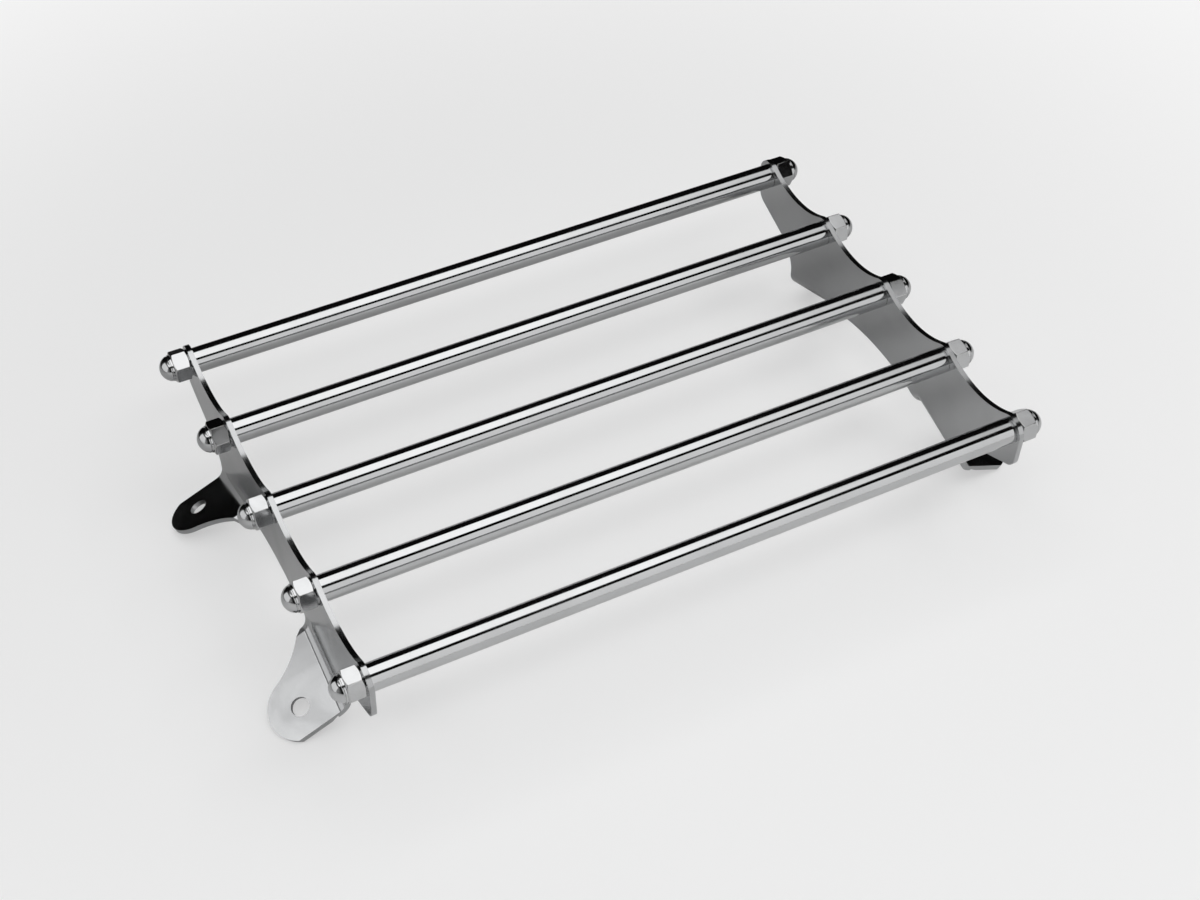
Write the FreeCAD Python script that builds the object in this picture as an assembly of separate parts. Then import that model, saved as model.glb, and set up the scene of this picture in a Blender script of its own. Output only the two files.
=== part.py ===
import FreeCAD, Part
import math
import os

os.makedirs("parts", exist_ok=True)

V = FreeCAD.Vector

# Rear rack: five chromed tubes lie between two bent side plates.  A threaded rod runs through
# every tube and a domed cap nut on each end clamps the whole rack together.  Four ears, bent
# out of the side plates, stand on the mudguard and take one mounting bolt each.
# Millimetres.  X runs along the tubes, Y along the side plates, Z is up.  The origin is the
# middle of the rack on the level its four ear tips stand on.

# deck
tube_count = 5
tube_pitch = 55.5
clear_width = 325.0
tube_radius = 6.35
tube_wall = 1.2

# side plates, heights measured from the tube axes
sheet = 2.5
lobe_radius = 8.5
scallop_low = 1.6
end_taper = 1.0
end_low = -13.5
end_rounding = 4.5
end_slope = 22.5
diagonal_low_y = 96.0
diagonal_low_z = -27.2
arch_crown = -34.0
arch_shoulder_y = 31.0
arch_shoulder_z = -37.6

# ears
bend_radius = 6.0
bend_angle = 68.0
fold_slope = 18.0
fold_y = 60.0
fold_z = -39.8
fold_fade = -20.0
fade_slope = 30.0
ear_inner_u = -21.9
ear_outer_u = 24.9
ear_neck_v = 1.4
ear_hole_u = 13.5
ear_hole_v = 15.1
ear_tip_radius = 15.5
ear_flank_radius = 45.0
ear_hole_radius = 4.4

# fasteners
rod_radius = 3.95
rod_shank_radius = 3.5
thread_run = 22.0
plate_hole_radius = 4.05
nut_bore_radius = 4.0
nut_across_flats = 14.3
nut_chamfer = 30.0
nut_seat_radius = 6.7
nut_seat_height = 0.5
nut_hex_top = 8.55
nut_hex_top_radius = 6.9
nut_shoulder_radius = 6.55
nut_groove_start = 9.5
nut_groove_end = 10.0
nut_groove_radius = 6.15
nut_dome_radius = 6.7
nut_height = 14.6
nut_bore_depth = 11.0
rod_reach = 10.0

# centring bushes inside the tube ends
bush_length = 12.0
bush_clearance = 0.04

inner_face = clear_width / 2
outer_face = inner_face + sheet
tube_y = [(i - (tube_count - 1) / 2) * tube_pitch for i in range(tube_count - 1, -1, -1)]


def unit(vector):
    return V(vector).normalize()


slope = math.radians(fold_slope)
bend = math.radians(bend_angle)

# Directions of the ear on the +X plate, +Y end: along the fold, square to the fold in the
# plate, down the ear, and out of the ear's upper face.
fold_dir = V(0, math.cos(slope), -math.sin(slope))
drop_dir = V(0, -math.sin(slope), -math.cos(slope))
ear_dir = drop_dir * math.cos(bend) + V(1, 0, 0) * math.sin(bend)
ear_up = V(1, 0, 0) * math.cos(bend) - drop_dir * math.sin(bend)

# The bend starts on this line of the plate's outer face; the flat of the ear starts where the
# bend ends.
bend_start = V(outer_face, fold_y, fold_z)
bend_axis = bend_start + V(bend_radius, 0, 0)
flat_start = bend_axis - ear_up * bend_radius


def ear_point(u, v):
    """Point on the ear's upper face, u along the fold and v down the ear from the bend."""
    return flat_start + fold_dir * u + ear_dir * v


ear_hole = ear_point(ear_hole_u, ear_hole_v)
steepest = math.sqrt(ear_dir.z ** 2 + fold_dir.z ** 2)
ear_bottom = ear_hole.z - ear_tip_radius * steepest - sheet * ear_up.z
lift = -ear_bottom


def arc(start, middle, end):
    return Part.Arc(start, middle, end).toShape()


def line(start, end):
    return Part.makeLine(start, end)


def on_plate(y, z):
    return V(inner_face, y, z)


def on_fold(u):
    """Point of the inner face on the line where the bend starts."""
    p = bend_start + fold_dir * u
    return on_plate(p.y, p.z)


def hollow_edges(y):
    """Top edge from the tube at y to the next one in +Y: lobe, hollow, lobe."""
    half = tube_pitch / 2
    depth = lobe_radius - scallop_low
    radius = (half ** 2 + scallop_low ** 2 - lobe_radius ** 2) / (2 * depth)
    centre = V(half, scallop_low + radius, 0)
    tangent = unit(centre) * lobe_radius
    top = V(0, lobe_radius, 0)
    on_lobe = unit(tangent + top) * lobe_radius
    left = [on_plate(y + p.x, p.y) for p in (top, on_lobe, tangent)]
    right = [on_plate(y + tube_pitch - p.x, p.y) for p in (top, on_lobe, tangent)]
    low = on_plate(y + half, scallop_low)
    return [
        arc(left[0], left[1], left[2]),
        arc(left[2], low, right[2]),
        arc(right[2], right[1], right[0]),
    ]


def end_edges():
    """End of the plate: over the last tube, down the end, along the slant, down to the ear."""
    last = tube_y[0]
    eighth = math.radians(45)
    top = on_plate(last, lobe_radius)
    over = on_plate(last + lobe_radius * math.sin(eighth), lobe_radius * math.cos(eighth))
    high = on_plate(last + lobe_radius, 0)
    low = on_plate(last + lobe_radius - end_taper, end_low)
    slant = math.radians(end_slope)
    along = V(0, math.cos(slant), math.sin(slant))
    knee = on_plate(diagonal_low_y, diagonal_low_z)
    run = (low.y - knee.y) / along.y
    corner = knee + along * run
    back = corner - along * end_rounding
    turn = (low + back) * 0.5 + (corner - (low + back) * 0.5) * 0.42
    neck = on_plate(ear_point(ear_outer_u, 0).y, fold_z - 3)
    bend_in = on_plate((knee.y + neck.y) / 2 - 2.2, (knee.z + neck.z) / 2 + 1.7)
    foot = on_plate(neck.y, neck.z - 40)
    return [
        arc(top, over, high),
        line(high, low),
        arc(low, turn, back),
        line(back, knee),
        arc(knee, bend_in, neck),
        line(neck, foot),
    ]


def half_profile():
    """Outline of one half of the plate seen along the tubes, left open below for the ear."""
    middle = on_plate(0, lobe_radius)
    edges = []
    for y in tube_y[:tube_count // 2][::-1]:
        edges += hollow_edges(y - tube_pitch)
    edges += end_edges()
    foot_out = edges[-1].Vertexes[-1].Point
    shoulder = on_plate(arch_shoulder_y, arch_shoulder_z)
    neck = on_plate(ear_point(ear_inner_u, 0).y, arch_shoulder_z - 7)
    turn = on_plate(neck.y - 2.2, arch_shoulder_z - 2.0)
    foot_in = on_plate(neck.y, foot_out.z)
    crown = on_plate(0, arch_crown)
    rise = arch_crown - arch_shoulder_z
    arch_radius = (arch_shoulder_y ** 2 + rise ** 2) / (2 * rise)
    half_y = arch_shoulder_y / 2
    half_z = arch_crown - arch_radius + math.sqrt(arch_radius ** 2 - half_y ** 2)
    edges += [
        line(foot_out, foot_in),
        line(foot_in, neck),
        arc(neck, turn, shoulder),
        arc(shoulder, on_plate(half_y, half_z), crown),
        line(crown, middle),
    ]
    face = Part.Face(Part.Wire(edges))
    face.translate(V(-1, 0, 0))
    return face.extrude(V(80, 0, 0))


def fade_mirror():
    """Plane in which the bend turns down towards the middle and runs out of the plate."""
    down = math.radians(fade_slope)
    fading = V(0, -math.cos(down), -math.sin(down))
    return bend_start + fold_dir * fold_fade, unit(fold_dir - fading), fading


def flat_sheet():
    """Flat of the plate above the bend lines, +Y half."""
    point, normal, fading = fade_mirror()
    turn = on_plate(point.y, point.z)
    inward = turn + fading * 30
    outward = on_fold(75)
    corners = [
        on_plate(0, 30),
        on_plate(0, inward.z),
        inward,
        turn,
        outward,
        on_plate(outward.y, 30),
    ]
    face = Part.Face(Part.makePolygon(corners + [corners[0]]))
    return face.extrude(V(sheet, 0, 0))


def ear_blank():
    """Bent strip of one ear before trimming, with the bend running out towards the middle."""
    outer = bend_radius + sheet
    half_up = unit(ear_up + V(1, 0, 0))
    start_in = bend_axis - V(outer, 0, 0)
    start_out = bend_axis - V(bend_radius, 0, 0)
    mid_in = bend_axis - half_up * outer
    mid_out = bend_axis - half_up * bend_radius
    end_in = bend_axis - ear_up * outer
    end_out = bend_axis - ear_up * bend_radius
    reach = ear_dir * (ear_hole_v + ear_tip_radius + 10)
    edges = [
        line(start_in, start_out),
        arc(start_out, mid_out, end_out),
        line(end_out, end_out + reach),
        line(end_out + reach, end_in + reach),
        line(end_in + reach, end_in),
        arc(end_in, mid_in, start_in),
    ]
    section = Part.Face(Part.Wire(edges))
    point, normal, fading = fade_mirror()
    strip = section.translated(fold_dir * -45).extrude(fold_dir * 90)
    keep = Part.makeBox(200, 200, 200, V(-100, -100, 0))
    keep.Placement = FreeCAD.Placement(point, FreeCAD.Rotation(V(0, 0, 1), normal))
    strip = strip.common(keep)
    fade = strip.mirror(point, normal)
    return strip, fade


def ear_outline():
    """Outline of one ear, as a prism square to the ear, left wide above the neck.

    The flank nearer the middle is hollow and runs smoothly into the round tip.  The outer
    flank is straight.
    """
    r = ear_tip_radius
    hollow = ear_flank_radius

    def on_tip(turn):
        return ear_point(ear_hole_u + r * math.cos(turn), ear_hole_v + r * math.sin(turn))

    du = ear_hole_u - ear_outer_u
    dv = ear_hole_v - ear_neck_v
    touch = math.atan2(dv, du) - math.asin(r / math.hypot(du, dv)) - math.pi / 2

    du = ear_inner_u - ear_hole_u
    dv = ear_neck_v - ear_hole_v
    away = math.hypot(du, dv)
    along = ((r + hollow) ** 2 - hollow ** 2 + away ** 2) / (2 * away)
    join = math.atan2(dv, du) % (2 * math.pi) - math.acos(along / (r + hollow))
    centre_u = ear_hole_u + (r + hollow) * math.cos(join)
    centre_v = ear_hole_v + (r + hollow) * math.sin(join)
    leave = join + math.pi
    arrive = math.atan2(ear_neck_v - centre_v, ear_inner_u - centre_u)
    middle = leave + math.remainder(arrive - leave, 2 * math.pi) / 2
    hollow_middle = ear_point(
        centre_u + hollow * math.cos(middle), centre_v + hollow * math.sin(middle)
    )
    outer = on_tip(touch)
    tip = on_tip((touch + join) / 2)
    inner = on_tip(join)
    corners = [
        outer,
        ear_point(ear_outer_u, ear_neck_v),
        ear_point(90, ear_neck_v),
        ear_point(90, -90),
        ear_point(-90, -90),
        ear_point(-90, ear_neck_v),
        ear_point(ear_inner_u, ear_neck_v),
    ]
    edges = [line(corners[i], corners[i + 1]) for i in range(len(corners) - 1)]
    edges.append(arc(corners[-1], hollow_middle, inner))
    edges.append(arc(inner, tip, outer))
    face = Part.Face(Part.Wire(edges))
    face.translate(ear_up * -100)
    return face.extrude(ear_up * 200)


def half_plate():
    """+Y half of the +X plate, with its bent ear and its bolt hole."""
    strip, fade = ear_blank()
    half = flat_sheet().fuse([strip, fade]).removeSplitter()
    half = half.common(half_profile()).common(ear_outline())
    drill = Part.makeCylinder(ear_hole_radius, 20, ear_hole - ear_up * 10, ear_up)
    return half.cut(drill)


def side_plate(side):
    half = half_plate()
    plate = half.fuse(half.mirror(V(0, 0, 0), V(0, 1, 0)))
    for y in tube_y:
        hole = Part.makeCylinder(plate_hole_radius, sheet + 2, V(inner_face - 1, y, 0), V(1, 0, 0))
        plate = plate.cut(hole)
    plate = plate.removeSplitter()
    if side < 0:
        plate = plate.mirror(V(0, 0, 0), V(1, 0, 0))
    return plate.translated(V(0, 0, lift))


def cross_tube(y):
    start = V(-inner_face, y, lift)
    tube = Part.makeCylinder(tube_radius, clear_width, start, V(1, 0, 0))
    bore = Part.makeCylinder(tube_radius - tube_wall, clear_width, start, V(1, 0, 0))
    return tube.cut(bore)


def turned(points, y, side):
    """Round part about the tube axis; points are distance from the middle and radius."""
    outline = [V(side * x, 0, r) for x, r in points]
    wire = Part.makePolygon(outline + [outline[0]])
    solid = Part.Face(wire).revolve(V(0, 0, 0), V(1, 0, 0), 360)
    return solid.translated(V(0, y, lift))


def centring_bush(y, side):
    """Ring in the tube end, flush with it, that keeps tube and rod on one axis."""
    bore = rod_radius + 0.05
    outside = tube_radius - tube_wall - bush_clearance
    back = inner_face - bush_length
    points = [
        (inner_face, bore + 0.4),
        (inner_face, outside - 0.4),
        (inner_face - 0.4, outside),
        (back + 0.4, outside),
        (back, outside - 0.4),
        (back, bore),
        (inner_face - 0.4, bore),
    ]
    return turned(points, y, side)


def tie_rod(y):
    """Long rod: reduced shank, full diameter where it is threaded at both ends."""
    tip = outer_face + rod_reach
    root = tip - thread_run
    half = [
        (root - 1.0, rod_shank_radius),
        (root, rod_radius),
        (tip - 1.0, rod_radius),
        (tip, rod_radius - 1.0),
        (tip, 0),
    ]
    other = [(-x, r) for x, r in reversed(half)]
    return turned(other + half, y, 1)


def cap_nut(y, side, clocking):
    """Chamfered hexagon on a round seat, a shoulder, a groove, and a dome over the blind hole."""
    corner = nut_across_flats / 2 / math.cos(math.radians(30))
    rise = math.tan(math.radians(nut_chamfer))
    points = []
    for i in range(6):
        a = math.radians(clocking + 60 * i)
        points.append(V(outer_face, corner * math.cos(a), corner * math.sin(a)))
    bar = Part.Face(Part.makePolygon(points + [points[0]])).extrude(V(nut_hex_top, 0, 0))
    turned_bar = turned([
        (outer_face, 0),
        (outer_face, nut_seat_radius),
        (outer_face + nut_seat_height, nut_seat_radius),
        (outer_face + nut_seat_height + (corner - nut_seat_radius) * rise, corner),
        (outer_face + nut_hex_top - (corner - nut_hex_top_radius) * rise, corner),
        (outer_face + nut_hex_top, nut_hex_top_radius),
        (outer_face + nut_hex_top, 0),
    ], 0, 1).translated(V(0, 0, -lift))
    hexagon = bar.common(turned_bar)
    centre = nut_height - nut_dome_radius
    foot = math.sqrt(nut_dome_radius ** 2 - (nut_groove_end - centre) ** 2)
    half_turn = math.atan2(foot, nut_groove_end - centre) / 2

    def at(x, r):
        return V(outer_face + x, 0, r)

    base = nut_hex_top - 1
    on_dome = at(
        centre + nut_dome_radius * math.cos(half_turn), nut_dome_radius * math.sin(half_turn)
    )
    cap = Part.Face(Part.Wire([
        line(at(base, 0), at(base, nut_shoulder_radius)),
        line(at(base, nut_shoulder_radius), at(nut_groove_start, nut_shoulder_radius)),
        line(at(nut_groove_start, nut_shoulder_radius), at(nut_groove_start, nut_groove_radius)),
        line(at(nut_groove_start, nut_groove_radius), at(nut_groove_end, nut_groove_radius)),
        line(at(nut_groove_end, nut_groove_radius), at(nut_groove_end, foot)),
        arc(at(nut_groove_end, foot), on_dome, at(nut_height, 0)),
        line(at(nut_height, 0), at(base, 0)),
    ])).revolve(V(0, 0, 0), V(1, 0, 0), 360)
    nut = hexagon.fuse(cap)
    bore = Part.makeCylinder(nut_bore_radius, nut_bore_depth, V(outer_face, 0, 0), V(1, 0, 0))
    bottom = V(outer_face + nut_bore_depth, 0, 0)
    drill_point = Part.makeCone(nut_bore_radius, 0.5, 1.8, bottom, V(1, 0, 0))
    nut = nut.cut(bore.fuse(drill_point)).removeSplitter()
    if side < 0:
        nut = nut.mirror(V(0, 0, 0), V(1, 0, 0))
    return nut.translated(V(0, y, lift))


# Each cap nut stopped at its own angle when it was tightened.
clock_left = [33, 47, 9.5, 10, 7]
clock_right = [45, 18, 45, 14, 18]

nodes = {
    "side_plate_left": side_plate(-1),
    "side_plate_right": side_plate(1),
}
for i, y in enumerate(tube_y):
    name = str(i + 1)
    nodes["cross_tube_" + name] = cross_tube(y)
    nodes["tie_rod_" + name] = tie_rod(y)
    nodes["centring_bush_left_" + name] = centring_bush(y, -1)
    nodes["centring_bush_right_" + name] = centring_bush(y, 1)
    nodes["cap_nut_left_" + name] = cap_nut(y, -1, clock_left[i])
    nodes["cap_nut_right_" + name] = cap_nut(y, 1, clock_right[i])

for name in nodes:
    nodes[name].exportStep("parts/" + name + ".step")
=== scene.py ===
import math

import bmesh
import bpy
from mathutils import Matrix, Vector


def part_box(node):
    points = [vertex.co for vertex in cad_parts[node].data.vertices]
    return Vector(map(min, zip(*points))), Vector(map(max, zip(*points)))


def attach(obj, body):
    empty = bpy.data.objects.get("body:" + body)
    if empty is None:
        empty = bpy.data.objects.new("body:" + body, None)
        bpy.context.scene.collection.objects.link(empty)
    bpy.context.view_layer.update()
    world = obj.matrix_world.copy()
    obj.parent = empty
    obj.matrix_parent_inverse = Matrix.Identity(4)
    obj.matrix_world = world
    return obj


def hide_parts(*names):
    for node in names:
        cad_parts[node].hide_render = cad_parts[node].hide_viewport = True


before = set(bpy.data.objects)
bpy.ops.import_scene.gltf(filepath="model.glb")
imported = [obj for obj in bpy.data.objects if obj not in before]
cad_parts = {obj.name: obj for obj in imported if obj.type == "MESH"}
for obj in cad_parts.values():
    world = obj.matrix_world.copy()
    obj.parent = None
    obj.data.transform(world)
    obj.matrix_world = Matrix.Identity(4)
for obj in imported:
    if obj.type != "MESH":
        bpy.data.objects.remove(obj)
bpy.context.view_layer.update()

# ---------------------------------------------------------------------------------------------
# Side plates.  Each is punched from 2.5 mm steel sheet and has two ears bent out of its lower
# edge.  The punched rims are rounded over on the polishing wheel before the plate is chromed,
# and the wheel leaves faint lines along the plate.
rim_rounding = 0.0006
rim_steps = 4
sharp_corner = math.radians(35)
weld_distance = 0.000001
flat_tolerance = math.radians(0.3)
plate_chrome = (0.47, 0.475, 0.48, 1.0)
plate_worn = (0.40, 0.39, 0.37, 1.0)


def effect(name, inputs, outputs):
    """A shader node group with named sockets, returned with its input and output nodes.

    inputs are (label, kind, value) and outputs are (label, kind).
    """
    group = bpy.data.node_groups.new(name, "ShaderNodeTree")
    for label, kind, value in inputs:
        socket = group.interface.new_socket(name=label, in_out="INPUT", socket_type=kind)
        socket.default_value = value
    for label, kind in outputs:
        group.interface.new_socket(name=label, in_out="OUTPUT", socket_type=kind)
    return group, group.nodes.new("NodeGroupInput"), group.nodes.new("NodeGroupOutput")


def ramp(tree, reading, start, end, smooth=True):
    """Turns a reading into a value that runs from start to end, each (reading, value)."""
    node = tree.nodes.new("ShaderNodeMapRange")
    if smooth:
        node.interpolation_type = "SMOOTHSTEP"
    node.inputs["From Min"].default_value, node.inputs["To Min"].default_value = start
    node.inputs["From Max"].default_value, node.inputs["To Max"].default_value = end
    tree.links.new(reading, node.inputs["Value"])
    return node.outputs["Result"]


def worked_out(tree, operation, *readings):
    """One sum on up to three readings, each of them a socket or a plain number."""
    node = tree.nodes.new("ShaderNodeMath")
    node.operation = operation
    for socket, reading in zip(node.inputs, readings):
        if isinstance(reading, float):
            socket.default_value = reading
        else:
            tree.links.new(reading, socket)
    return node.outputs["Value"]


def wheel_marks():
    """Fine lines left by a polishing wheel or a tool: noise drawn out along one direction."""
    group, given, made = effect(
        "wheel_marks",
        [
            ("Place", "NodeSocketVector", (0.0, 0.0, 0.0)),
            ("Lines per metre", "NodeSocketVector", (20.0, 20.0, 2000.0)),
        ],
        [("Marks", "NodeSocketFloat")],
    )
    stretch = group.nodes.new("ShaderNodeVectorMath")
    stretch.operation = "MULTIPLY"
    noise = group.nodes.new("ShaderNodeTexNoise")
    noise.inputs["Scale"].default_value = 1.0
    noise.inputs["Detail"].default_value = 3.0
    noise.inputs["Roughness"].default_value = 0.6
    group.links.new(given.outputs["Place"], stretch.inputs[0])
    group.links.new(given.outputs["Lines per metre"], stretch.inputs[1])
    group.links.new(stretch.outputs[0], noise.inputs["Vector"])
    group.links.new(noise.outputs["Fac"], made.inputs["Marks"])
    return group


def handling_haze():
    """Soft patches where the plating is a little duller from handling and wiping."""
    group, given, made = effect(
        "handling_haze",
        [
            ("Place", "NodeSocketVector", (0.0, 0.0, 0.0)),
            ("Patches per metre", "NodeSocketFloat", 40.0),
        ],
        [("Haze", "NodeSocketFloat")],
    )
    noise = group.nodes.new("ShaderNodeTexNoise")
    noise.inputs["Detail"].default_value = 4.0
    noise.inputs["Distortion"].default_value = 0.6
    group.links.new(given.outputs["Place"], noise.inputs["Vector"])
    group.links.new(given.outputs["Patches per metre"], noise.inputs["Scale"])
    haze = ramp(group, noise.outputs["Fac"], (0.35, 0.0), (0.75, 1.0))
    group.links.new(haze, made.inputs["Haze"])
    return group


def thin_edges():
    """Rims where the chrome has worn thin: the rounded edge, broken up by small noise."""
    group, given, made = effect(
        "thin_edges",
        [
            ("Place", "NodeSocketVector", (0.0, 0.0, 0.0)),
            ("Rim", "NodeSocketFloat", 0.0),
            ("Flecks per metre", "NodeSocketFloat", 600.0),
        ],
        [("Worn", "NodeSocketFloat")],
    )
    noise = group.nodes.new("ShaderNodeTexNoise")
    noise.inputs["Detail"].default_value = 3.0
    group.links.new(given.outputs["Place"], noise.inputs["Vector"])
    group.links.new(given.outputs["Flecks per metre"], noise.inputs["Scale"])
    flecks = ramp(group, noise.outputs["Fac"], (0.42, 0.0), (0.62, 1.0), smooth=False)
    worn = worked_out(group, "MULTIPLY", flecks, given.outputs["Rim"])
    group.links.new(worn, made.inputs["Worn"])
    return group


wheel_marks_group = wheel_marks()
handling_haze_group = handling_haze()
thin_edges_group = thin_edges()
haze_tone = 0.93
streak_share = 0.6
streak_range = (0.1, 1.4)
streak_depth = 0.0000006


def bright_metal(name, clean, worn, lines, patches, gloss, wave):
    """Bright metal with wheel marks, hazy patches, worn rims and a faint ripple.

    clean and worn are colours, and lines and patches are how many go to a metre.  gloss is the
    roughness of clean and of hazy metal, and wave is ripples per metre and their height.
    """
    finish = bpy.data.materials.new(name)
    finish.use_nodes = True
    tree = finish.node_tree
    nodes = tree.nodes
    link = tree.links.new
    metal = nodes["Principled BSDF"]
    metal.inputs["Metallic"].default_value = 1.0
    place = nodes.new("ShaderNodeTexCoord")
    rim = nodes.new("ShaderNodeAttribute")
    rim.attribute_name = "rim"

    marks = nodes.new("ShaderNodeGroup")
    marks.node_tree = wheel_marks_group
    marks.inputs["Lines per metre"].default_value = lines
    haze = nodes.new("ShaderNodeGroup")
    haze.node_tree = handling_haze_group
    haze.inputs["Patches per metre"].default_value = patches
    thin = nodes.new("ShaderNodeGroup")
    thin.node_tree = thin_edges_group
    for part in (marks, haze, thin):
        link(place.outputs["Object"], part.inputs["Place"])
    link(rim.outputs["Fac"], thin.inputs["Rim"])

    dulled = nodes.new("ShaderNodeMix")
    dulled.data_type = "RGBA"
    dulled.inputs["A"].default_value = clean
    dulled.inputs["B"].default_value = [c * haze_tone for c in clean[:3]] + [1.0]
    link(haze.outputs["Haze"], dulled.inputs["Factor"])
    colour = nodes.new("ShaderNodeMix")
    colour.data_type = "RGBA"
    colour.inputs["B"].default_value = worn
    link(thin.outputs["Worn"], colour.inputs["Factor"])
    link(dulled.outputs["Result"], colour.inputs["A"])
    link(colour.outputs["Result"], metal.inputs["Base Color"])

    streaked = worked_out(
        tree, "MULTIPLY_ADD", marks.outputs["Marks"], streak_share, haze.outputs["Haze"]
    )
    clean_end = (streak_range[0], gloss[0])
    hazy_end = (streak_range[1], gloss[1])
    link(ramp(tree, streaked, clean_end, hazy_end, smooth=False), metal.inputs["Roughness"])

    ripple = nodes.new("ShaderNodeTexNoise")
    ripple.inputs["Scale"].default_value = wave[0]
    ripple.inputs["Detail"].default_value = 1.0
    link(place.outputs["Object"], ripple.inputs["Vector"])
    ripple_bump = nodes.new("ShaderNodeBump")
    ripple_bump.inputs["Strength"].default_value = 1.0
    ripple_bump.inputs["Distance"].default_value = wave[1]
    link(ripple.outputs["Fac"], ripple_bump.inputs["Height"])
    mark_bump = nodes.new("ShaderNodeBump")
    mark_bump.inputs["Strength"].default_value = 1.0
    mark_bump.inputs["Distance"].default_value = streak_depth
    link(marks.outputs["Marks"], mark_bump.inputs["Height"])
    link(ripple_bump.outputs["Normal"], mark_bump.inputs["Normal"])
    link(mark_bump.outputs["Normal"], metal.inputs["Normal"])
    return finish


chromed_plate = bright_metal(
    "chromed_plate", plate_chrome, plate_worn, (900.0, 25.0, 900.0), 35.0, (0.13, 0.22),
    (90.0, 0.000012)
)


def round_punched_rims(bm, width):
    """Rounds every sharp edge of the sheet, and marks the corners that lie on a rounded rim."""
    sharp = [e for e in bm.edges if e.is_manifold and e.calc_face_angle() > sharp_corner]
    result = bmesh.ops.bevel(
        bm, geom=sharp, offset=width, segments=rim_steps, profile=0.5, affect="EDGES",
        clamp_overlap=True
    )
    rounded = set(result["faces"])
    rim = bm.loops.layers.float.new("rim")
    for face in bm.faces:
        for corner in face.loops:
            inside = all(f in rounded for f in corner.vert.link_faces)
            corner[rim] = 1.0 if inside else 0.0


for side in ("left", "right"):
    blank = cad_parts["side_plate_" + side]
    bm = bmesh.new()
    bm.from_mesh(blank.data)
    bmesh.ops.remove_doubles(bm, verts=bm.verts, dist=weld_distance)
    bmesh.ops.dissolve_limit(bm, angle_limit=flat_tolerance, verts=bm.verts, edges=bm.edges)
    round_punched_rims(bm, rim_rounding)
    for face in bm.faces:
        face.smooth = True
    mesh = bpy.data.meshes.new("plate_" + side)
    bm.to_mesh(mesh)
    bm.free()
    mesh.materials.clear()
    mesh.materials.append(chromed_plate)
    plate = bpy.data.objects.new("plate_" + side, mesh)
    bpy.context.scene.collection.objects.link(plate)
    flats = plate.modifiers.new("flats_stay_flat", "WEIGHTED_NORMAL")
    flats.weight = 100
    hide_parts("side_plate_" + side)
    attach(plate, "root")

# ---------------------------------------------------------------------------------------------
# Tie rods.  One M8 rod runs through each tube.  It is turned down along its middle, keeps its
# full diameter at both ends, and the rolled thread there takes the cap nuts.  Zinc plated.
axis_z = (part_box("cross_tube_3")[0].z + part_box("cross_tube_3")[1].z) / 2
thread_pitch = 0.00125
thread_depth = 0.00055
thread_steps = 6
thread_crest = 0.12
thread_flank = 0.7
threaded_length = 0.022
thread_run_in = 0.002
shank_undercut = 0.00045
tip_chamfer = 0.001
rod_zinc = (0.56, 0.57, 0.58, 1.0)
rod_worn = (0.40, 0.39, 0.36, 1.0)

zinc_rod = bright_metal(
    "zinc_rod", rod_zinc, rod_worn, (60.0, 1800.0, 1800.0), 120.0, (0.26, 0.42), (250.0, 0.000006)
)


def thread_cut(x, bearing):
    """Depth of the thread at a place along the rod: 0 on a crest, 1 in a root."""
    turn = (x / thread_pitch - bearing / (2 * math.pi)) % 1.0
    from_crest = min(turn, 1.0 - turn) * 2
    return min(1.0, max(0.0, (from_crest - thread_crest) / thread_flank))


def skin(name, rows, bearings, y, closed):
    """Skins rings about a tube axis.  rows[i][j] is (x, radius, rim) at bearing j.

    A row of no radius becomes a single point.  closed joins the last row to the first.
    """
    bm = bmesh.new()
    rim = bm.loops.layers.float.new("rim")
    rings = []
    for row in rows:
        if max(r for x, r, w in row) == 0.0:
            rings.append([bm.verts.new((row[0][0], y, axis_z))])
            continue
        ring = []
        for (x, r, w), b in zip(row, bearings):
            ring.append(bm.verts.new((x, y + r * math.cos(b), axis_z + r * math.sin(b))))
        rings.append(ring)
    count = len(bearings)
    last = len(rings) if closed else len(rings) - 1
    for i in range(last):
        n = (i + 1) % len(rings)
        here, there = rings[i], rings[n]
        for j in range(count):
            k = (j + 1) % count
            if len(here) == 1:
                face = bm.faces.new((here[0], there[j], there[k]))
                worn = (0.0, rows[n][j][2], rows[n][k][2])
            elif len(there) == 1:
                face = bm.faces.new((here[j], there[0], here[k]))
                worn = (rows[i][j][2], 0.0, rows[i][k][2])
            else:
                face = bm.faces.new((here[j], there[j], there[k], here[k]))
                worn = (rows[i][j][2], rows[n][j][2], rows[n][k][2], rows[i][k][2])
            face.smooth = True
            for corner, w in zip(face.loops, worn):
                corner[rim] = w
    bmesh.ops.recalc_face_normals(bm, faces=bm.faces)
    mesh = bpy.data.meshes.new(name)
    bm.to_mesh(mesh)
    bm.free()
    piece = bpy.data.objects.new(name, mesh)
    bpy.context.scene.collection.objects.link(piece)
    flats = piece.modifiers.new("flats_stay_flat", "WEIGHTED_NORMAL")
    flats.weight = 80
    return piece


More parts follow.
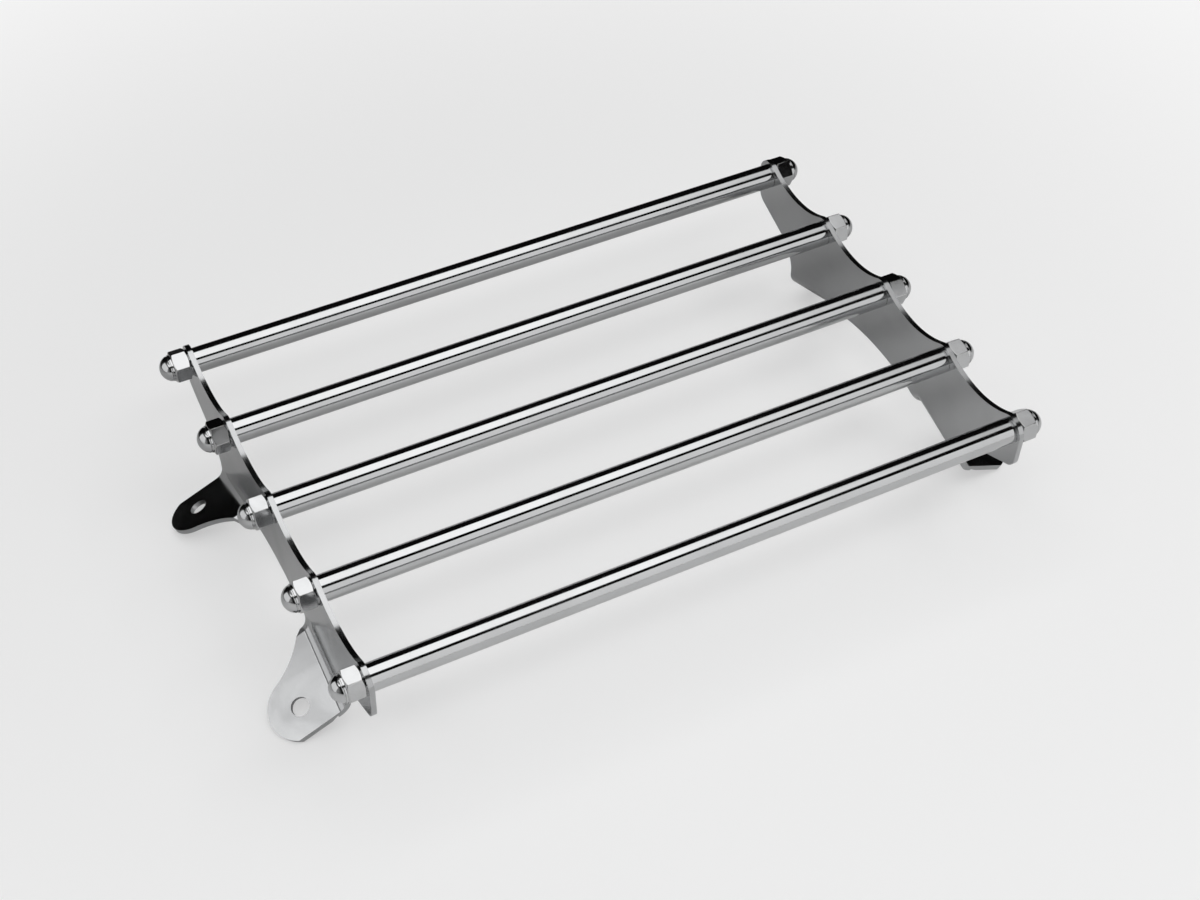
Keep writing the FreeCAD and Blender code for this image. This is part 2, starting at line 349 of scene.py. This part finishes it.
rod_bearings = [2 * math.pi * j / 32 for j in range(32)]
for i in range(1, 6):
    low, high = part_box("tie_rod_%d" % i)
    y = (low.y + high.y) / 2
    tip = high.x
    full = (high.z - low.z) / 2
    shank = full - shank_undercut
    root = tip - threaded_length
    stations = [0.0]
    x = root - tip_chamfer
    while x < tip - 0.0001:
        stations.append(x)
        x += thread_pitch / thread_steps
    stations.append(tip)
    rows = [[(-tip, 0.0, 0.0)] * len(rod_bearings)]
    for x in [-s for s in reversed(stations[1:])] + stations:
        row = []
        for b in rod_bearings:
            runs_in = min(1.0, max(0.0, (abs(x) - root) / thread_run_in))
            chamfered = full - max(0.0, abs(x) - (tip - tip_chamfer))
            r = min(full - thread_depth * thread_cut(x, b) * runs_in, chamfered)
            if abs(x) < root:
                r = shank
            row.append((x, r, 0.5 * runs_in * (1.0 - thread_cut(x, b))))
        rows.append(row)
    rows.append([(tip, 0.0, 0.0)] * len(rod_bearings))
    rod = skin("threaded_rod_%d" % i, rows, rod_bearings, y, False)
    rod.data.materials.append(zinc_rod)
    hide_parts("tie_rod_%d" % i)
    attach(rod, "root")

# ---------------------------------------------------------------------------------------------
# Centring bushes.  A plain turned steel ring pressed into each tube end keeps the tube and its
# rod on one axis.  Left as it came off the lathe, with rings from the tool on it.
bush_steel = (0.42, 0.415, 0.40, 1.0)
bush_worn = (0.50, 0.49, 0.47, 1.0)

turned_bush = bright_metal(
    "turned_bush", bush_steel, bush_worn, (4000.0, 40.0, 40.0), 150.0, (0.30, 0.48),
    (200.0, 0.000008)
)

for i in range(1, 6):
    for side in ("left", "right"):
        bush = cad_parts["centring_bush_%s_%d" % (side, i)]
        for slot in bush.material_slots:
            slot.material = turned_bush

# ---------------------------------------------------------------------------------------------
# Cross tubes.  Drawn 12.7 mm steel tube, cut to 325 mm, deburred at both ends, polished along
# its length and chromed.  Each butts squarely against the two side plates.
tube_wall = 0.0012
bore_easing = 0.0002
end_easing = 0.0003
end_land = 0.004
tube_chrome = (0.56, 0.565, 0.57, 1.0)
tube_worn = (0.45, 0.44, 0.42, 1.0)

chromed_tube = bright_metal(
    "chromed_tube", tube_chrome, tube_worn, (14.0, 1600.0, 1600.0), 30.0, (0.07, 0.15),
    (45.0, 0.000008)
)


def eased(corners, steps=4):
    """Rounds the corners of an outline of (x, radius, easing), and gives (x, radius, rim).

    rim is 1 in the middle of a rounded corner and 0 on the flats.
    """
    out = []
    for i, (x, r, e) in enumerate(corners):
        before = corners[i - 1] if i else corners[-1]
        after = corners[(i + 1) % len(corners)]
        to_before = math.hypot(before[0] - x, before[1] - r)
        to_after = math.hypot(after[0] - x, after[1] - r)
        if e <= 0:
            out.append((x, r, 0.0))
            continue
        p = min(e, to_before * 0.45) / max(to_before, 0.0000001)
        q = min(e, to_after * 0.45) / max(to_after, 0.0000001)
        start = (x + (before[0] - x) * p, r + (before[1] - r) * p)
        end = (x + (after[0] - x) * q, r + (after[1] - r) * q)
        for s in range(steps + 1):
            t = s / steps
            a, b, c = (1 - t) ** 2, 2 * t * (1 - t), t * t
            rim = 1.0 - abs(2 * t - 1)
            out.append((a * start[0] + b * x + c * end[0], a * start[1] + b * r + c * end[1], rim))
    return out


tube_bearings = [2 * math.pi * j / 96 for j in range(96)]
for i in range(1, 6):
    low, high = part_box("cross_tube_%d" % i)
    y = (low.y + high.y) / 2
    end = high.x
    outer = (high.z - low.z) / 2
    inner = outer - tube_wall
    outline = [
        (-end, inner, bore_easing),
        (-end, outer, end_easing),
        (-end + end_land, outer, 0.0),
        (0.0, outer, 0.0),
        (end - end_land, outer, 0.0),
        (end, outer, end_easing),
        (end, inner, bore_easing),
        (end - end_land, inner, 0.0),
        (-end + end_land, inner, 0.0),
    ]
    rows = [[point] * len(tube_bearings) for point in eased(outline)]
    tube = skin("polished_tube_%d" % i, rows, tube_bearings, y, True)
    tube.data.materials.append(chromed_tube)
    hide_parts("cross_tube_%d" % i)
    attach(tube, "root")

# ---------------------------------------------------------------------------------------------
# Cap nuts.  Turned from 14.3 mm hexagon bar: a round seat, the chamfered hexagon, a shoulder,
# a narrow groove and a dome over the blind threaded hole.  Chromed, and tightened by spanner.
nut_apothem = 0.00715
corner_rounding = 0.00022
chamfer = math.tan(math.radians(30))
seat_radius = 0.0067
seat_height = 0.0005
hexagon_top = 0.00855
hexagon_top_radius = 0.0069
shoulder_radius = 0.00655
groove_start = 0.0095
groove_end = 0.0100
groove_radius = 0.00615
dome_radius = 0.0067
nut_height = 0.0146
bore_radius = 0.004
bore_depth = 0.011
drill_point = 0.0018
thread_fade = 0.002
dome_steps = 16
# How far round each nut stopped, in degrees, from tube 1 to tube 5.
nut_turn_left = (33, 47, 9.5, 10, 7)
nut_turn_right = (45, 18, 45, 14, 18)
nut_chrome = (0.56, 0.565, 0.57, 1.0)
nut_worn = (0.44, 0.43, 0.41, 1.0)

chromed_nut = bright_metal(
    "chromed_nut", nut_chrome, nut_worn, (2600.0, 60.0, 60.0), 90.0, (0.09, 0.17),
    (160.0, 0.000006)
)


def hexagon_radius(off_corner):
    """Distance from the axis to the hexagon bar at an angle from its nearest corner."""
    middle = (nut_apothem - corner_rounding) / math.cos(math.radians(30))
    reach = corner_rounding * math.sin(math.radians(30))
    tangent = math.atan2(reach, middle + corner_rounding * math.cos(math.radians(30)))
    if abs(off_corner) < tangent:
        across = middle * math.sin(off_corner)
        return middle * math.cos(off_corner) + math.sqrt(corner_rounding ** 2 - across ** 2)
    return nut_apothem / math.cos(math.radians(30) - abs(off_corner))


def nut_outline(face, side, bearing, off_corner):
    """Half outline of the nut at one bearing, from the end of its hole out to its dome.

    Each point is (height above the seat, radius, easing of the corner there).
    """
    bar = hexagon_radius(off_corner)
    points = [(bore_depth + drill_point, 0.0, 0.0)]
    x = bore_depth
    while x > 0.0012:
        deep = min(1.0, (bore_depth - x) / thread_fade)
        cut = thread_cut(side * (face + x), bearing)
        points.append((x, bore_radius - thread_depth * cut * deep, 0.0))
        x -= thread_pitch / thread_steps
    points.append((0.0007, bore_radius, 0.0))
    points.append((0.0, bore_radius + 0.0005, 0.0002))
    points.append((0.0, seat_radius, 0.00012))
    points.append((seat_height, seat_radius, 0.00008))
    points.append((seat_height + (bar - seat_radius) * chamfer, bar, 0.00016))
    points.append((hexagon_top - (bar - hexagon_top_radius) * chamfer, bar, 0.00022))
    points.append((hexagon_top, hexagon_top_radius, 0.00012))
    points.append((hexagon_top, shoulder_radius, 0.0001))
    points.append((groove_start, shoulder_radius, 0.00018))
    points.append((groove_start, groove_radius, 0.0001))
    points.append((groove_end, groove_radius, 0.0001))
    middle = nut_height - dome_radius
    foot = math.asin((groove_end - middle) / dome_radius)
    points.append((groove_end, dome_radius * math.cos(foot), 0.00012))
    points = eased(points)
    for step in range(1, dome_steps):
        turn = foot + (math.pi / 2 - foot) * step / dome_steps
        points.append((middle + dome_radius * math.sin(turn), dome_radius * math.cos(turn), 0.0))
    points.append((nut_height, 0.0, 0.0))
    return points


# Bearings of the outlines in one sixth of the nut, in degrees from its corner.
flank_steps = (0.45, 0.9, 1.3, 1.7, 3.5, 9.0, 17.0)
sector = [-s for s in reversed(flank_steps)] + [0.0] + list(flank_steps) + [30.0]
for i in range(1, 6):
    for side, sign in (("left", -1), ("right", 1)):
        node = "cap_nut_%s_%d" % (side, i)
        low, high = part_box(node)
        y = (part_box("cross_tube_%d" % i)[0].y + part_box("cross_tube_%d" % i)[1].y) / 2
        face = high.x - nut_height if sign > 0 else -low.x - nut_height
        start = (nut_turn_right if sign > 0 else nut_turn_left)[i - 1]
        bearings = []
        columns = []
        for corner in range(6):
            for off in sector:
                bearing = math.radians(start + 60 * corner + off)
                bearings.append(bearing)
                shape = nut_outline(face, sign, bearing, math.radians(off))
                on_corner = max(0.0, 1.0 - abs(off) / 1.5)
                column = []
                for x, r, rim in shape:
                    on_bar = 0.0005 < x < hexagon_top and r > nut_apothem - 0.0001
                    worn = max(rim, on_corner) if on_bar else rim
                    column.append((sign * (face + x), r, worn))
                columns.append(column)
        rows = [[column[k] for column in columns] for k in range(len(columns[0]))]
        nut = skin("domed_nut_%s_%d" % (side, i), rows, bearings, y, False)
        nut.data.materials.append(chromed_nut)
        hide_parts(node)
        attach(nut, "root")

# ---------------------------------------------------------------------------------------------
# Floor.  A plain pale floor, a little darker close under the rack, where its shadow falls.  Where
# the chrome mirrors it, its tone carries painted shade: it is painted darker from under the rack
# back, and fades to near black towards the back of the table, which draws the bands along the
# tubes.
floor_radius = 4.0
floor_tone = 0.95
backdrop_tone = (0.97, 0.97, 0.97, 1.0)


def stage_sheet(name, outline):
    """A flat sheet from its corner points."""
    bm = bmesh.new()
    bm.faces.new([bm.verts.new(p) for p in outline])
    mesh = bpy.data.meshes.new(name)
    bm.to_mesh(mesh)
    bm.free()
    sheet = bpy.data.objects.new(name, mesh)
    bpy.context.scene.collection.objects.link(sheet)
    return sheet


def oval(radius_x, radius_y, centre, height, power=1.0):
    """Points round an oval, squarer as power falls below 1."""
    points = []
    for k in range(96):
        a = 2 * math.pi * k / 96
        c, s = math.cos(a), math.sin(a)
        x = centre[0] + radius_x * math.copysign(abs(c) ** power, c)
        y = centre[1] + radius_y * math.copysign(abs(s) ** power, s)
        points.append((x, y, height))
    return points


def stage_finish(name):
    """A material for the studio with only its output left, its node tree, and where it is.

    The last result is the place on the sheet as separate x, y and z.
    """
    finish = bpy.data.materials.new(name)
    finish.use_nodes = True
    tree = finish.node_tree
    tree.nodes.remove(tree.nodes["Principled BSDF"])
    place = tree.nodes.new("ShaderNodeTexCoord")
    split = tree.nodes.new("ShaderNodeSeparateXYZ")
    tree.links.new(place.outputs["Object"], split.inputs[0])
    return finish, tree, split.outputs


paper, tree, at = stage_finish("pale_paper")
seen = tree.nodes.new("ShaderNodeLightPath").outputs["Is Camera Ray"]
# Painted shade: the floor's tone as the chrome mirrors it is painted darker from under the rack
# back, and fades to near black towards the back of the table.
painted_shade_under_rack = ramp(tree, at["Y"], (-0.16, 0.97), (0.12, 0.66))
painted_fade_to_back = ramp(tree, at["Y"], (0.20, 1.0), (0.42, 0.03))
tone = tree.nodes.new("ShaderNodeMix")
tone.inputs["B"].default_value = floor_tone
tree.links.new(worked_out(tree, "MULTIPLY", painted_shade_under_rack, painted_fade_to_back), tone.inputs["A"])
tree.links.new(seen, tone.inputs["Factor"])
matt = tree.nodes.new("ShaderNodeBsdfDiffuse")
tree.links.new(tone.outputs["Result"], matt.inputs["Color"])
pale = tree.nodes.new("ShaderNodeEmission")
pale.inputs["Color"].default_value = backdrop_tone
from_middle = tree.nodes.new("ShaderNodeVectorMath")
from_middle.operation = "LENGTH"
tree.links.new(tree.nodes["Texture Coordinate"].outputs["Object"], from_middle.inputs[0])
lit_evenly = ramp(tree, from_middle.outputs["Value"], (0.20, 0.50), (0.80, 1.0))
blend = tree.nodes.new("ShaderNodeMixShader")
tree.links.new(worked_out(tree, "MULTIPLY", lit_evenly, seen), blend.inputs["Fac"])
tree.links.new(matt.outputs["BSDF"], blend.inputs[1])
tree.links.new(pale.outputs["Emission"], blend.inputs[2])
tree.links.new(blend.outputs["Shader"], tree.nodes["Material Output"].inputs["Surface"])
floor = stage_sheet("floor", oval(floor_radius, floor_radius, (0, 0), 0.0))
floor.data.materials.append(paper)

# ---------------------------------------------------------------------------------------------
# Overhead light.  A big softbox, brightest over the rack, falling off to the right and dimmed
# at its near left corner.  A lamp that the chrome doesn't mirror lights the floor with it.
softbox_size = (0.86, 0.484)
softbox_centre = (-0.10, 0.028)
softbox_height = 0.964
softbox_squareness = 0.7
corner_slant = 0.8

glow, tree, at = stage_finish("softbox_cloth")
falls_right = ramp(tree, at["X"], (0.25, 1.55), (0.80, 0.65))
slanted = worked_out(tree, "MULTIPLY_ADD", at["Y"], corner_slant, at["X"])
dim_corner = ramp(tree, slanted, (-0.77, 1.0), (-0.60, 0.20))
full_again = ramp(tree, at["X"], (-0.52, 0.0), (-0.32, 1.0))
evened = worked_out(tree, "MAXIMUM", dim_corner, full_again)
light = tree.nodes.new("ShaderNodeEmission")
tree.links.new(worked_out(tree, "MULTIPLY", evened, falls_right), light.inputs["Strength"])
tree.links.new(light.outputs["Emission"], tree.nodes["Material Output"].inputs["Surface"])
softbox_outline = oval(*softbox_size, softbox_centre, softbox_height, softbox_squareness)
softbox = stage_sheet("softbox", softbox_outline[::-1])
softbox.visible_camera = False
softbox.data.materials.append(glow)

floor_lamp = bpy.data.lights.new("floor_lamp", "AREA")
floor_lamp.shape = "ELLIPSE"
floor_lamp.size = 2.0
floor_lamp.size_y = 1.2
floor_lamp.energy = 21.0
floor_light = bpy.data.objects.new("floor_light", floor_lamp)
floor_light.location = (0.0, -0.10, 1.0)
floor_light.visible_glossy = False
floor_light.visible_camera = False
bpy.context.scene.collection.objects.link(floor_light)

# ---------------------------------------------------------------------------------------------
# Screens.  Pale cloth hung in front and at the left, seen only in the chrome.  The front one
# has a slightly raised top over the right of the rack.
front_y = -0.80
front_ends = (-0.25, 1.9)
front_top = (0.80, 0.81)
front_rise = 0.075
rise_x = 0.5
rise_width = 0.2
left_x = -1.15
left_ends = (-0.35, 0.80)
left_top = 0.85

front_points = [(front_ends[0], front_y, 0.0), (front_ends[0], front_y, front_top[0])]
for k in range(25):
    x = -0.1 + 1.6 * k / 24
    lifted = front_rise * math.exp(-(((x - rise_x) / rise_width) ** 2))
    front_points.append((x, front_y, front_top[1] + lifted))
front_points += [(front_ends[1], front_y, front_top[0]), (front_ends[1], front_y, 0.0)]
left_points = [
    (left_x, left_ends[0], 0.0),
    (left_x, left_ends[0], left_top),
    (left_x, left_ends[1], left_top),
    (left_x, left_ends[1], 0.0),
]
cloth, tree, at = stage_finish("screen_cloth")
light = tree.nodes.new("ShaderNodeEmission")
brighter_up = ramp(tree, at["Z"], (0.05, 0.95), (0.75, 1.0), smooth=False)
tree.links.new(brighter_up, light.inputs["Strength"])
tree.links.new(light.outputs["Emission"], tree.nodes["Material Output"].inputs["Surface"])
cloth.cycles.emission_sampling = "NONE"
for name, outline in (("front_screen", front_points), ("left_screen", left_points)):
    screen = stage_sheet(name, outline)
    screen.visible_camera = False
    screen.visible_shadow = False
    screen.visible_diffuse = False
    screen.data.materials.append(cloth)

# ---------------------------------------------------------------------------------------------
# Room.  Pale where it is looked at, with a little fill on the floor, and dark where the chrome
# mirrors it, except far out to the left.
room_fill = 0.12

world = bpy.data.worlds.new("studio")
bpy.context.scene.world = world
world.use_nodes = True
tree = world.node_tree
tree.nodes.clear()
place = tree.nodes.new("ShaderNodeTexCoord")
split = tree.nodes.new("ShaderNodeSeparateXYZ")
tree.links.new(place.outputs["Generated"], split.inputs[0])
dark = tree.nodes.new("ShaderNodeBackground")
left_end = ramp(tree, split.outputs["X"], (-0.95, 0.40), (-0.55, 0.004))
tree.links.new(left_end, dark.inputs["Strength"])
even = tree.nodes.new("ShaderNodeBackground")
even.inputs["Strength"].default_value = room_fill
seen_pale = tree.nodes.new("ShaderNodeBackground")
seen_pale.inputs["Color"].default_value = backdrop_tone
rays = tree.nodes.new("ShaderNodeLightPath")
fill = tree.nodes.new("ShaderNodeMixShader")
tree.links.new(rays.outputs["Is Diffuse Ray"], fill.inputs["Fac"])
tree.links.new(dark.outputs["Background"], fill.inputs[1])
tree.links.new(even.outputs["Background"], fill.inputs[2])
look = tree.nodes.new("ShaderNodeMixShader")
tree.links.new(rays.outputs["Is Camera Ray"], look.inputs["Fac"])
tree.links.new(fill.outputs["Shader"], look.inputs[1])
tree.links.new(seen_pale.outputs["Background"], look.inputs[2])
room = tree.nodes.new("ShaderNodeOutputWorld")
tree.links.new(look.outputs["Shader"], room.inputs["Surface"])

# ---------------------------------------------------------------------------------------------
# Camera.  It looks down on the rack from above its near left corner.
lens = bpy.data.cameras.new("camera")
lens.sensor_width = 36.0
lens.lens = 60.19
lens.clip_start = 0.05
lens.clip_end = 20.0
camera = bpy.data.objects.new("camera", lens)
camera.location = (-0.315393, -0.626875, 0.721552)
camera.rotation_euler = [math.radians(a) for a in (45.29693, 0.14192, -27.09010)]
bpy.context.scene.collection.objects.link(camera)
bpy.context.scene.camera = camera
bpy.context.scene.view_settings.view_transform = "Standard"
bpy.context.scene.view_settings.look = "None"
